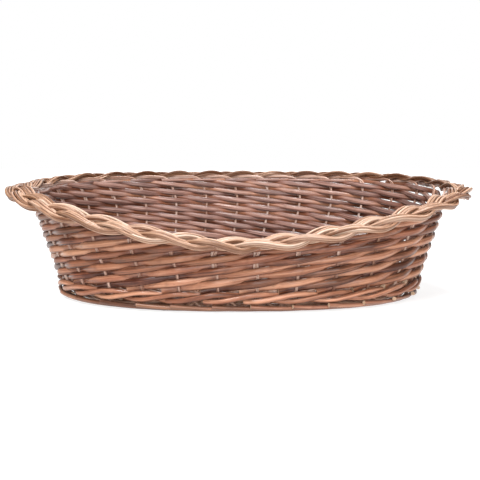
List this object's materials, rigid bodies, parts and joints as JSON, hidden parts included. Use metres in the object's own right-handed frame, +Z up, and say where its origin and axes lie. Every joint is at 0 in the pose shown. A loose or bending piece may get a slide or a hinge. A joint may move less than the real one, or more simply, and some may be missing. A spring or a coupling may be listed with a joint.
{
  "type": "wicker pet bed basket",
  "caption": "Oval willow pet bed basket with flaring woven sides, a low front entrance, a plaited rim and a flat woven base.",
  "frame": {"origin": "on the floor, under the middle of the basket's outer outline", "axes": "+X along the long axis, to the right seen from the low front entrance; +Y towards the high back; +Z up"},
  "size_m": [0.6932, 0.5138, 0.1792],
  "materials": {
    "base_sticks": "matte peeled willow, brown",
    "base_weave": "matte steamed willow, tan brown",
    "foot_rods": "matte steamed willow, light brown",
    "stakes": "satin steamed willow, warm brown",
    "wale": "satin steamed willow, brown",
    "side_weave": "satin steamed willow, warm tan brown",
    "border": "satin peeled willow, pale buff"
  },
  "bodies": {
    "root": {"base_long_sticks": "base_sticks", "base_fan_sticks": "base_sticks", "base_cross_sticks": "base_sticks", "base_weave_under": "base_weave", "base_weave_over": "base_weave", "foot_border": "foot_rods", "side_stakes": "stakes", "bye_stakes": "stakes", "wale_strand_1": "wale", "wale_strand_2": "wale", "wale_strand_3": "wale", "weave_rods_front": "side_weave", "weave_rods_right": "side_weave", "weave_rods_back": "side_weave", "weave_rods_left": "side_weave", "packing_rods": "side_weave", "border_strand_1": "border", "border_strand_2": "border", "border_strand_3": "border"}
  },
  "joints": []
}
